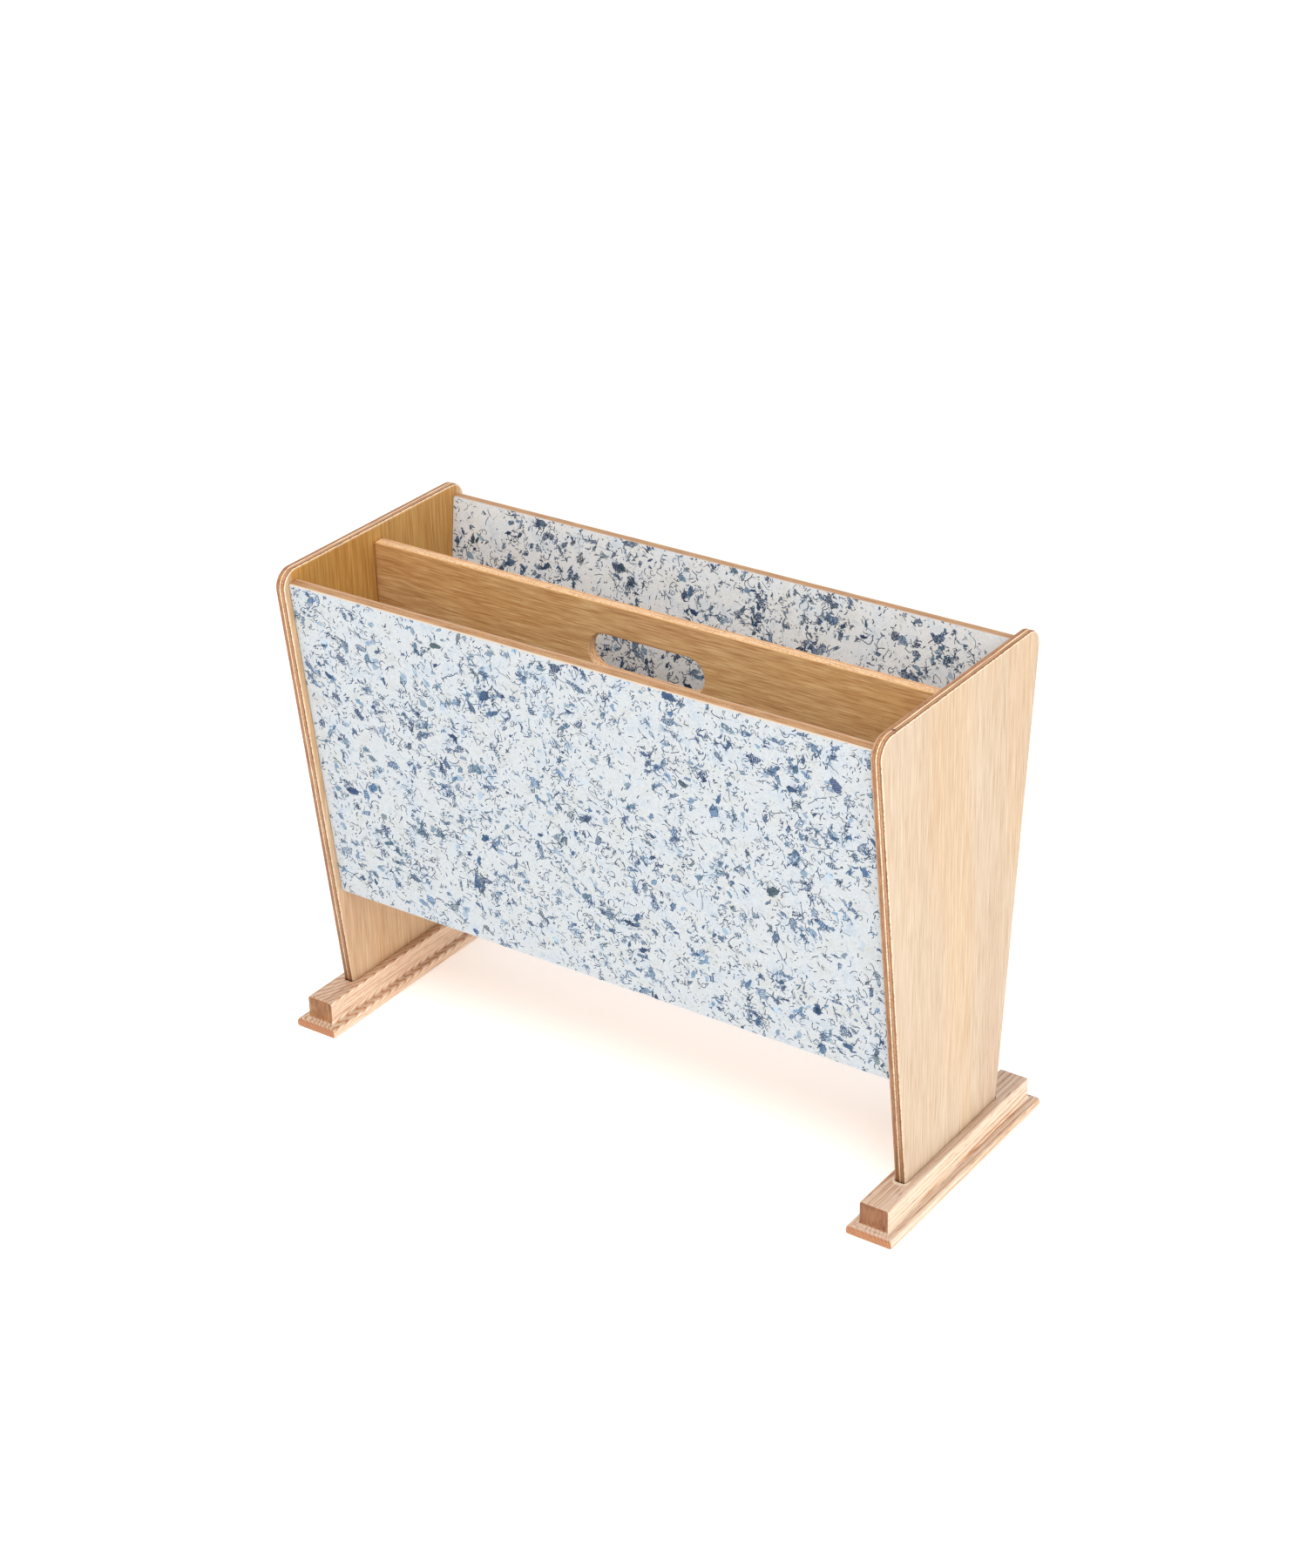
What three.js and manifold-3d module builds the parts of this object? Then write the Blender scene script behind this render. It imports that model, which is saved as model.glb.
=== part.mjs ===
// A free-standing magazine rack for a living room.
// Two plywood end panels stand in housings cut into solid ash feet. Between them run an upright
// divider with a handle slot, a leaning panel in front of it and another behind it, and a floor
// panel that closes the two pockets. Each leaning panel is a plywood core faced on both sides with
// a sheet of pressed textile. Blind dowels join the panels, and screws hold the feet on.
//
// Millimetres. X runs along the rack, -Y is its front, +Z is up.
// The origin is on the ground, below the middle of the rack.

import * as THREE from "three";
import { mergeVertices } from "three/addons/utils/BufferGeometryUtils.js";
import Module from "manifold-3d";

// ---- Driving dimensions ----

const GAP = 0.3; // between any two pieces that touch
const EASING = 1.5; // radius worked on the plywood's arrises

const LENGTH = 455; // over the outer faces of the two end panels
const HEIGHT = 348;
const PLY = 8; // thickness of the end panels, the divider and the floor panel

const END_TOP_DEPTH = 192; // the end panel's sloping edges, front to back at HEIGHT
const END_FOOT_DEPTH = 116.5; // the same at the top of the foot
const END_CORNER_RADIUS = 12.5;

const FOOT_HEIGHT = 23.2;
const FOOT_BLOCK_WIDTH = 21; // the foot above its moulding
const FOOT_BLOCK_LENGTH = 179.5;
const FOOT_TOP_RADIUS = 2;
const LIP_REACH = 6.2; // how far the moulding's lip stands out from the block
const LIP_NOSE_HEIGHT = 3.9; // centre of the lip's upper rounding
const LIP_NOSE_RADIUS = 3;
const LIP_BASE_RADIUS = 1.8;
const COVE_RADIUS = 3;
const HOUSING_DEPTH = 12;
const HOUSING_LENGTH = 121;

const LEAN_INSET = 5; // from the end panel's edge back to the face of the leaning panel
const LEAN_THICKNESS = 8;
const LEAN_BOTTOM = 100; // measured along the slope from the ground
const LEAN_TOP = 342;
const FACING = 1.2; // the pressed textile sheet
const FACING_CORNER_RADIUS = 2;

const DIVIDER_TOP = 338;
const DIVIDER_CORNER_RADIUS = 3;
const SLOT_LENGTH = 88.5;
const SLOT_WIDTH = 25;
const SLOT_HEIGHT = 303.3; // centre of the slot above the ground

const FLOOR_PANEL_BOTTOM = 106;

const DOWEL_RADIUS = 2;
const DOWEL_LENGTH = 20;
const DOWEL_IN_PLY = 5; // how far a dowel enters the face of an 8 mm panel
const DOWEL_CHAMFER = 0.5;
const LEAN_DOWEL_PLACES = [135, 220, 305]; // along the slope
const DIVIDER_DOWEL_PLACES = [145, 225, 305]; // above the ground
const FLOOR_DOWEL_PLACES = [-28, 28]; // from the middle plane
const DIVIDER_FOOT_DOWEL_PLACES = [-150, 0, 150]; // along the rack

const SCREW_PLACES = [-35, 35]; // from the middle plane
const SCREW_LENGTH = 36;
const SCREW_RADIUS = 1.75;
const SCREW_HEAD_RADIUS = 3.5;
const SCREW_HEAD_HEIGHT = 2.4;
const SCREW_TIP_LENGTH = 4;
const SCREW_SETBACK = 2; // the head's depth inside the foot
const RECESS_WIDTH = 0.9; // the cross recess in the head
const RECESS_SPAN = 4;
const RECESS_DEPTH = 1.4;

const CURVE_STEPS = 6;
const ROUND_STEPS = 12;

// ---- Dimensions worked out from those ----

const HALF_LENGTH = LENGTH / 2;
const INSIDE = HALF_LENGTH - PLY - GAP; // where the long panels end
const SLOPE_RUN = (END_TOP_DEPTH - END_FOOT_DEPTH) / 2 / (HEIGHT - FOOT_HEIGHT);
const LEAN_ANGLE = Math.atan(SLOPE_RUN);
const HOUSING_FLOOR = FOOT_HEIGHT - HOUSING_DEPTH;
const HOUSING_RADIUS = PLY / 2 + GAP;
const CORE = LEAN_THICKNESS - 2 * (FACING + GAP);
const END_CENTRE = HALF_LENGTH - PLY / 2;

// Distance from the middle plane to the end panel's sloping edge, at a height.
function edgeDepth(height) {
  return END_FOOT_DEPTH / 2 + (height - FOOT_HEIGHT) * SLOPE_RUN;
}

// ---- Materials ----

function finish(color, roughness, metalness = 0) {
  return new THREE.MeshStandardMaterial({ color, roughness, metalness });
}

const paleVeneer = finish(0xe8c898, 0.55);
const honeyVeneer = finish(0xb9905c, 0.5);
const corePly = finish(0xd9ab7c, 0.65);
const pressedTextile = finish(0xdfe4e6, 0.85);
const ash = finish(0xe6c49a, 0.5);
const beech = finish(0xd8b384, 0.7);
const zincedSteel = finish(0xb8bcc0, 0.35, 1);

// ---- Solids and booleans ----

const wasm = await Module();
wasm.setup();

function toSolid(geometry) {
  const bare = geometry.clone();
  bare.deleteAttribute("normal");
  bare.deleteAttribute("uv");
  const merged = mergeVertices(bare, 1e-4);
  return new wasm.Manifold(
    new wasm.Mesh({
      numProp: 3,
      vertProperties: new Float32Array(merged.attributes.position.array),
      triVerts: new Uint32Array(merged.index.array),
    }),
  );
}

function toGeometry(solid) {
  const mesh = solid.getMesh();
  const geometry = new THREE.BufferGeometry();
  geometry.setAttribute("position", new THREE.BufferAttribute(mesh.vertProperties, 3));
  geometry.setIndex(new THREE.BufferAttribute(mesh.triVerts, 1));
  return geometry;
}

function cut(geometry, tools) {
  let solid = toSolid(geometry);
  for (const tool of tools) {
    solid = solid.subtract(toSolid(tool));
  }
  return toGeometry(solid);
}

// A shape pushed to a thickness, centred on its plane, with its arrises rounded by easing.
function board(shape, thickness, easing = 0) {
  const geometry = new THREE.ExtrudeGeometry(shape, {
    depth: thickness - 2 * easing,
    curveSegments: CURVE_STEPS,
    bevelEnabled: easing > 0,
    bevelThickness: easing,
    bevelSize: easing,
    bevelOffset: -easing,
    bevelSegments: 2,
  });
  return geometry.translate(0, 0, easing - thickness / 2);
}

const X_AXIS = new THREE.Vector3(1, 0, 0);
const Y_AXIS = new THREE.Vector3(0, 1, 0);
const Z_AXIS = new THREE.Vector3(0, 0, 1);

// Turns a board drawn flat so that its outline lies in the YZ plane or in the XZ plane.
const ACROSS = new THREE.Matrix4().makeBasis(Y_AXIS, Z_AXIS, X_AXIS);
const ALONG = new THREE.Matrix4().makeBasis(X_AXIS, Z_AXIS, Y_AXIS.clone().negate());

// A closed outline through corners {x, y, r}, each rounded to radius r by a tangent arc.
function roundedOutline(corners) {
  const shape = new THREE.Shape();
  corners.forEach((corner, i) => {
    const here = new THREE.Vector2(corner.x, corner.y);
    const before = corners[(i + corners.length - 1) % corners.length];
    const after = corners[(i + 1) % corners.length];
    const back = new THREE.Vector2(before.x, before.y).sub(here).normalize();
    const ahead = new THREE.Vector2(after.x, after.y).sub(here).normalize();
    const half = back.angleTo(ahead) / 2;
    const reach = corner.r / Math.tan(half);
    const start = here.clone().addScaledVector(back, reach);
    if (i === 0) {
      shape.moveTo(start.x, start.y);
    } else {
      shape.lineTo(start.x, start.y);
    }
    if (corner.r > 0) {
      const end = here.clone().addScaledVector(ahead, reach);
      const toCentre = back.clone().add(ahead).normalize();
      const centre = here.clone().addScaledVector(toCentre, corner.r / Math.sin(half));
      const from = start.clone().sub(centre).angle();
      const to = end.clone().sub(centre).angle();
      shape.absarc(centre.x, centre.y, corner.r, from, to, false);
    }
  });
  shape.closePath();
  return shape;
}

function rectangle(halfWidth, bottom, top, lowerRadius = 0, upperRadius = 0) {
  return roundedOutline([
    { x: -halfWidth, y: bottom, r: lowerRadius },
    { x: halfWidth, y: bottom, r: lowerRadius },
    { x: halfWidth, y: top, r: upperRadius },
    { x: -halfWidth, y: top, r: upperRadius },
  ]);
}

// A slot with half-round ends, along the drawing's X.
function stadium(outline, length, width, centreY) {
  const radius = width / 2;
  const straight = length / 2 - radius;
  outline.moveTo(-straight, centreY - radius);
  outline.lineTo(straight, centreY - radius);
  outline.absarc(straight, centreY, radius, -Math.PI / 2, Math.PI / 2, false);
  outline.lineTo(-straight, centreY + radius);
  outline.absarc(-straight, centreY, radius, Math.PI / 2, (3 * Math.PI) / 2, false);
  return outline;
}

// A turned piece whose axis is Z, from its half profile of [radius, height] points.
function turned(profile) {
  const points = profile.map(([radius, height]) => new THREE.Vector2(radius, height));
  return new THREE.LatheGeometry(points, ROUND_STEPS).rotateX(Math.PI / 2);
}

// A bore along X or Z, from a start point, with clearance round the dowel or screw in it.
function bore(radius, start, direction, depth) {
  const geometry = new THREE.CylinderGeometry(radius, radius, depth, ROUND_STEPS);
  geometry.translate(0, depth / 2, 0);
  const turn = new THREE.Quaternion().setFromUnitVectors(Y_AXIS, direction);
  return geometry.applyQuaternion(turn).translate(start.x, start.y, start.z);
}

// ---- Places of the joints ----

// The middle of a leaning panel's core, at a distance up the slope. side: -1 front, 1 back.
const LEAN_ORIGIN = edgeDepth(0) - LEAN_INSET - LEAN_THICKNESS / 2 / Math.cos(LEAN_ANGLE);

function leanGroup(side) {
  const group = new THREE.Group();
  group.position.set(0, side * LEAN_ORIGIN, 0);
  group.rotation.x = -side * LEAN_ANGLE;
  group.updateMatrixWorld(true);
  return group;
}

const leaning = { front: leanGroup(-1), back: leanGroup(1) };
const FLOOR_PANEL_MIDDLE = FLOOR_PANEL_BOTTOM + PLY / 2;

// Where the rows of dowels meet an end panel's inner face, as [y, z] in the rack's frame.
function endDowelPlaces() {
  const places = [];
  for (const group of Object.values(leaning)) {
    for (const along of LEAN_DOWEL_PLACES) {
      const point = new THREE.Vector3(0, 0, along).applyMatrix4(group.matrixWorld);
      places.push([point.y, point.z]);
    }
  }
  for (const height of DIVIDER_DOWEL_PLACES) {
    places.push([0, height]);
  }
  for (const across of FLOOR_DOWEL_PLACES) {
    places.push([across, FLOOR_PANEL_MIDDLE]);
  }
  return places;
}

const BORE_RADIUS = DOWEL_RADIUS + GAP;
const BORE_IN_PLY = DOWEL_IN_PLY + GAP;
const BORE_IN_EDGE = DOWEL_LENGTH - DOWEL_IN_PLY + GAP;

// Bores into both ends of a long panel, at [y, z] places in that panel's frame.
function edgeBores(places) {
  return places.flatMap(([y, z]) =>
    [-1, 1].map((end) => {
      const start = new THREE.Vector3(end * (INSIDE + GAP), y, z);
      return bore(BORE_RADIUS, start, X_AXIS.clone().multiplyScalar(-end), BORE_IN_EDGE + GAP);
    }),
  );
}

// ---- Pieces ----

const rack = new THREE.Group();

function add(name, geometry, material, parent = rack) {
  const mesh = new THREE.Mesh(geometry, material);
  mesh.name = name;
  parent.add(mesh);
  return mesh;
}

// An end panel: a trapezium, standing on its narrow side, that runs down into the foot's housing.
function endPanel(end) {
  const bottom = HOUSING_FLOOR + GAP;
  const outline = roundedOutline([
    { x: -edgeDepth(bottom), y: bottom, r: 0 },
    { x: edgeDepth(bottom), y: bottom, r: 0 },
    { x: edgeDepth(HEIGHT), y: HEIGHT, r: END_CORNER_RADIUS },
    { x: -edgeDepth(HEIGHT), y: HEIGHT, r: END_CORNER_RADIUS },
  ]);
  const geometry = board(outline, PLY, EASING).applyMatrix4(ACROSS);
  const innerFace = -end * (PLY / 2 + GAP);
  const bores = endDowelPlaces().map(([y, z]) =>
    bore(
      BORE_RADIUS,
      new THREE.Vector3(innerFace, y, z),
      X_AXIS.clone().multiplyScalar(end),
      BORE_IN_PLY + GAP,
    ),
  );
  const pilotDepth = SCREW_SETBACK + SCREW_LENGTH + GAP - (bottom - GAP);
  for (const place of SCREW_PLACES) {
    const start = new THREE.Vector3(0, place, bottom - GAP);
    bores.push(bore(SCREW_RADIUS + GAP, start, Z_AXIS, pilotDepth));
  }
  return cut(geometry, bores);
}

// Half of the foot's section, from the middle of its base to the middle of its top, for a block
// that reaches half from its middle: lip, cove, upright side and rounded top arris.
function footOutline(half) {
  const nose = half + LIP_REACH - LIP_NOSE_RADIUS;
  const base = half + LIP_REACH - LIP_BASE_RADIUS;
  const coveTop = LIP_NOSE_HEIGHT + LIP_NOSE_RADIUS + COVE_RADIUS;
  const right = new THREE.Path();
  right.absarc(base, LIP_BASE_RADIUS, LIP_BASE_RADIUS, -Math.PI / 2, 0, false);
  right.absarc(nose, LIP_NOSE_HEIGHT, LIP_NOSE_RADIUS, 0, Math.PI / 2, false);
  right.absarc(half + COVE_RADIUS, coveTop, COVE_RADIUS, -Math.PI / 2, -Math.PI, true);
  const topCentre = half - FOOT_TOP_RADIUS;
  right.absarc(topCentre, FOOT_HEIGHT - FOOT_TOP_RADIUS, FOOT_TOP_RADIUS, 0, Math.PI / 2, false);
  const points = right.getPoints(CURVE_STEPS);
  const mirrored = points.map((point) => new THREE.Vector2(-point.x, point.y)).reverse();
  return new THREE.Shape([...points, ...mirrored]);
}

// A foot: the same moulding on all four sides, with a housing for the end panel in its top.
function foot() {
  const longest = FOOT_BLOCK_LENGTH + 4 * LIP_REACH;
  const crossSection = footOutline(FOOT_BLOCK_WIDTH / 2);
  const sideView = footOutline(FOOT_BLOCK_LENGTH / 2);
  const bar = toSolid(board(crossSection, longest).applyMatrix4(ALONG));
  const slab = toSolid(board(sideView, longest).applyMatrix4(ACROSS));
  const blank = toGeometry(bar.intersect(slab));

  const housingShape = stadium(new THREE.Shape(), HOUSING_LENGTH, 2 * HOUSING_RADIUS, 0);
  const housing = board(housingShape, 2 * HOUSING_DEPTH)
    .rotateZ(Math.PI / 2)
    .translate(0, 0, FOOT_HEIGHT);
  const clearance = SCREW_RADIUS + GAP;
  const sink = SCREW_HEAD_RADIUS + GAP;
  const seat = SCREW_SETBACK + SCREW_HEAD_HEIGHT + GAP;
  const screwHoles = SCREW_PLACES.map((place) =>
    turned([
      [0, -GAP],
      [sink, -GAP],
      [sink, SCREW_SETBACK + GAP],
      [clearance, seat],
      [clearance, HOUSING_FLOOR + GAP],
      [0, HOUSING_FLOOR + GAP],
    ]).translate(0, place, 0),
  );
  return cut(blank, [housing, ...screwHoles]);
}

// A countersunk wood screw, head down, with a cross recess; its head's face is at z = 0.
function screw() {
  const body = turned([
    [0, 0],
    [SCREW_HEAD_RADIUS, 0],
    [SCREW_RADIUS, SCREW_HEAD_HEIGHT],
    [SCREW_RADIUS, SCREW_LENGTH - SCREW_TIP_LENGTH],
    [0, SCREW_LENGTH],
  ]);
  const arms = [
    new THREE.BoxGeometry(RECESS_SPAN, RECESS_WIDTH, 2 * RECESS_DEPTH),
    new THREE.BoxGeometry(RECESS_WIDTH, RECESS_SPAN, 2 * RECESS_DEPTH),
  ];
  return cut(body, arms);
}

function dowel() {
  const half = DOWEL_LENGTH / 2;
  const narrow = DOWEL_RADIUS - DOWEL_CHAMFER;
  return turned([
    [0, -half],
    [narrow, -half],
    [DOWEL_RADIUS, DOWEL_CHAMFER - half],
    [DOWEL_RADIUS, half - DOWEL_CHAMFER],
    [narrow, half],
    [0, half],
  ]);
}

// ---- End panels, feet and their screws ----

for (const [name, end] of [["left", -1], ["right", 1]]) {
  const side = new THREE.Group();
  side.position.x = end * END_CENTRE;
  rack.add(side);
  add(`${name}_end_panel`, endPanel(end), paleVeneer, side);
  add(`${name}_foot`, foot(), ash, side);
  SCREW_PLACES.forEach((place, i) => {
    const driven = add(`${name}_foot_screw_${i + 1}`, screw(), zincedSteel, side);
    driven.position.set(0, place, SCREW_SETBACK);
  });
}

// ---- Dowels at the two ends of a long panel ----

const DOWEL_MIDDLE = HALF_LENGTH - PLY + DOWEL_IN_PLY - DOWEL_LENGTH / 2;

function addEndDowels(name, places, parent = rack) {
  places.forEach(([y, z], i) => {
    for (const [shift, end] of [[0, -1], [places.length, 1]]) {
      const geometry = dowel().rotateY(Math.PI / 2);
      const pin = add(`${name}_dowel_${i + 1 + shift}`, geometry, beech, parent);
      pin.position.set(end * DOWEL_MIDDLE, y, z);
    }
  });
}

// ---- Leaning panels: plywood core with a textile facing on each side ----

const leanDowels = LEAN_DOWEL_PLACES.map((along) => [0, along]);
const FACING_OFFSET = LEAN_THICKNESS / 2 - FACING / 2;

for (const [name, side] of [["front", -1], ["back", 1]]) {
  const group = leaning[name];
  rack.add(group);
  const coreShape = rectangle(INSIDE, LEAN_BOTTOM, LEAN_TOP);
  const core = cut(board(coreShape, CORE).applyMatrix4(ALONG), edgeBores(leanDowels));
  add(`${name}_panel_core`, core, corePly, group);
  for (const [face, direction] of [["outer", side], ["inner", -side]]) {
    const sheet = rectangle(INSIDE, LEAN_BOTTOM, LEAN_TOP, FACING_CORNER_RADIUS);
    const facing = board(sheet, FACING).applyMatrix4(ALONG);
    const mesh = add(`${name}_panel_${face}_facing`, facing, pressedTextile, group);
    mesh.position.y = direction * FACING_OFFSET;
  }
  addEndDowels(`${name}_panel`, leanDowels, group);
}

// ---- Divider with the handle slot ----

const DIVIDER_BOTTOM = FLOOR_PANEL_BOTTOM + PLY + GAP;
const dividerDowels = DIVIDER_DOWEL_PLACES.map((height) => [0, height]);

function divider() {
  const shape = rectangle(INSIDE, DIVIDER_BOTTOM, DIVIDER_TOP, 0, DIVIDER_CORNER_RADIUS);
  shape.holes.push(stadium(new THREE.Path(), SLOT_LENGTH, SLOT_WIDTH, SLOT_HEIGHT));
  const geometry = board(shape, PLY, EASING).applyMatrix4(ALONG);
  const depth = DOWEL_LENGTH - DOWEL_IN_PLY + 2 * GAP;
  const footBores = DIVIDER_FOOT_DOWEL_PLACES.map((along) =>
    bore(BORE_RADIUS, new THREE.Vector3(along, 0, DIVIDER_BOTTOM - GAP), Z_AXIS, depth),
  );
  return cut(geometry, [...edgeBores(dividerDowels), ...footBores]);
}

add("divider_panel", divider(), honeyVeneer);
addEndDowels("divider", dividerDowels);

// ---- Floor panel, with its long edges bevelled to the leaning panels ----

// Half the floor's depth at a height: up to the inner face of a leaning panel, less the gap.
function floorDepth(height) {
  const thickness = (LEAN_THICKNESS + GAP) / Math.cos(LEAN_ANGLE);
  return edgeDepth(height) - LEAN_INSET - thickness;
}

function floorPanel() {
  const top = FLOOR_PANEL_BOTTOM + PLY;
  const section = new THREE.Shape([
    new THREE.Vector2(-floorDepth(FLOOR_PANEL_BOTTOM), FLOOR_PANEL_BOTTOM),
    new THREE.Vector2(floorDepth(FLOOR_PANEL_BOTTOM), FLOOR_PANEL_BOTTOM),
    new THREE.Vector2(floorDepth(top), top),
    new THREE.Vector2(-floorDepth(top), top),
  ]);
  const geometry = board(section, 2 * INSIDE).applyMatrix4(ACROSS);
  const ends = edgeBores(FLOOR_DOWEL_PLACES.map((across) => [across, FLOOR_PANEL_MIDDLE]));
  const depth = DOWEL_IN_PLY + 2 * GAP;
  const down = Z_AXIS.clone().negate();
  const middles = DIVIDER_FOOT_DOWEL_PLACES.map((along) =>
    bore(BORE_RADIUS, new THREE.Vector3(along, 0, top + GAP), down, depth),
  );
  return cut(geometry, [...ends, ...middles]);
}

add("floor_panel", floorPanel(), honeyVeneer);
addEndDowels("floor_panel", FLOOR_DOWEL_PLACES.map((across) => [across, FLOOR_PANEL_MIDDLE]));
DIVIDER_FOOT_DOWEL_PLACES.forEach((along, i) => {
  const pin = add(`divider_foot_dowel_${i + 1}`, dowel(), beech);
  const top = FLOOR_PANEL_BOTTOM + PLY;
  pin.position.set(along, 0, top - DOWEL_IN_PLY + DOWEL_LENGTH / 2);
});

export default rack;
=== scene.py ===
"""The looks of the magazine rack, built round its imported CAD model. Metres, in the CAD frame.

Lengths named in millimetres are turned into metres by MM.
"""

import random
from math import atan2, copysign, cos, pi, radians, sin, tan, tau

import bmesh
import bpy
from mathutils import Matrix, Vector, noise


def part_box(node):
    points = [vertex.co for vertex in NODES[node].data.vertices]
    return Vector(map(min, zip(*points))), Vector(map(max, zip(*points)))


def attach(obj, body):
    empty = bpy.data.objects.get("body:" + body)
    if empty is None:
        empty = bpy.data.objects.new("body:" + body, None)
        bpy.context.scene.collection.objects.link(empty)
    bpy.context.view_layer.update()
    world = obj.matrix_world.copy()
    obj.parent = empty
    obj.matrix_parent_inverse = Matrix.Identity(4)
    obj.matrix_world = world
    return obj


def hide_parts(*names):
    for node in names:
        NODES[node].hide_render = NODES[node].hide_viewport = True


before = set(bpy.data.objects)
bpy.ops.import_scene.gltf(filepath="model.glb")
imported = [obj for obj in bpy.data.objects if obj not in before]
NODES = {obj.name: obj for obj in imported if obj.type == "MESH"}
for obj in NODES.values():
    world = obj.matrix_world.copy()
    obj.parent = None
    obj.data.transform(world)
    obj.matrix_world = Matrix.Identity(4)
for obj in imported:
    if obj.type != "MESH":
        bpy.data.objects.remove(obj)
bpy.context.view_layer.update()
SCENE = bpy.context.scene

MM = 0.001
X_AXIS = Vector((1, 0, 0))
Y_AXIS = Vector((0, 1, 0))
Z_AXIS = Vector((0, 0, 1))

# ---- Sizes in millimetres ----

PLY = 8  # end panels and divider
END_CORNER_RADIUS = 12.5
END_ARRIS = 2.0
END_SUPPORT = 0.3  # narrow band that keeps the big faces flat where they meet a rounding

DIVIDER_CORNER_RADIUS = 3
DIVIDER_ARRIS = 1.4
SLOT_LENGTH = 88.5
SLOT_WIDTH = 25
SLOT_HEIGHT = 303.3  # centre of the slot above the ground

SHEET = 1.5  # pressed textile, flush on the core
SHEET_ARRIS = 0.4
SHEET_LOWER_RADIUS = 2.5
SHEET_UPPER_RADIUS = 0.8

FOOT_BLOCK_HALF_WIDTH = 10.5
FOOT_BLOCK_HALF_LENGTH = 89.75
FOOT_CORNER_RADIUS = 1.2
FOOT_LEAST_RADIUS = 0.3
FOOT_HEIGHT = 23.2
FOOT_TOP_RADIUS = 1.8
LIP_REACH = 6.2
LIP_NOSE_HEIGHT = 3.9
LIP_NOSE_RADIUS = 3
LIP_TOP = LIP_NOSE_HEIGHT + LIP_NOSE_RADIUS
LIP_BASE_RADIUS = 1.8
COVE_RADIUS = 3
HOUSING_FLOOR = 11.2
HOUSING_GAP = 0.4  # all round the panel's foot
HOUSING_CORNER_RADIUS = 2.6
HOUSING_RIM = 0.5
SCREW_PLACES = (-35, 35)
SCREW_SINK_RADIUS = 3.8
SCREW_SINK_DEPTH = 2.3
SCREW_SEAT_DEPTH = 4.7
SCREW_HOLE_RADIUS = 2.05
SCREW_RIM = 0.3

ARC_STEPS = 8
ARRIS_STEPS = 5
ROUND_STEPS = 24


# ---- Colours ----

def linear(channel):
    """An sRGB channel from 0 to 255 as a linear value."""
    c = channel / 255
    return c / 12.92 if c <= 0.04045 else ((c + 0.055) / 1.055) ** 2.4


def rgb(red, green, blue):
    return (linear(red), linear(green), linear(blue), 1.0)


WHITE = (1.0, 1.0, 1.0, 1.0)


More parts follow.
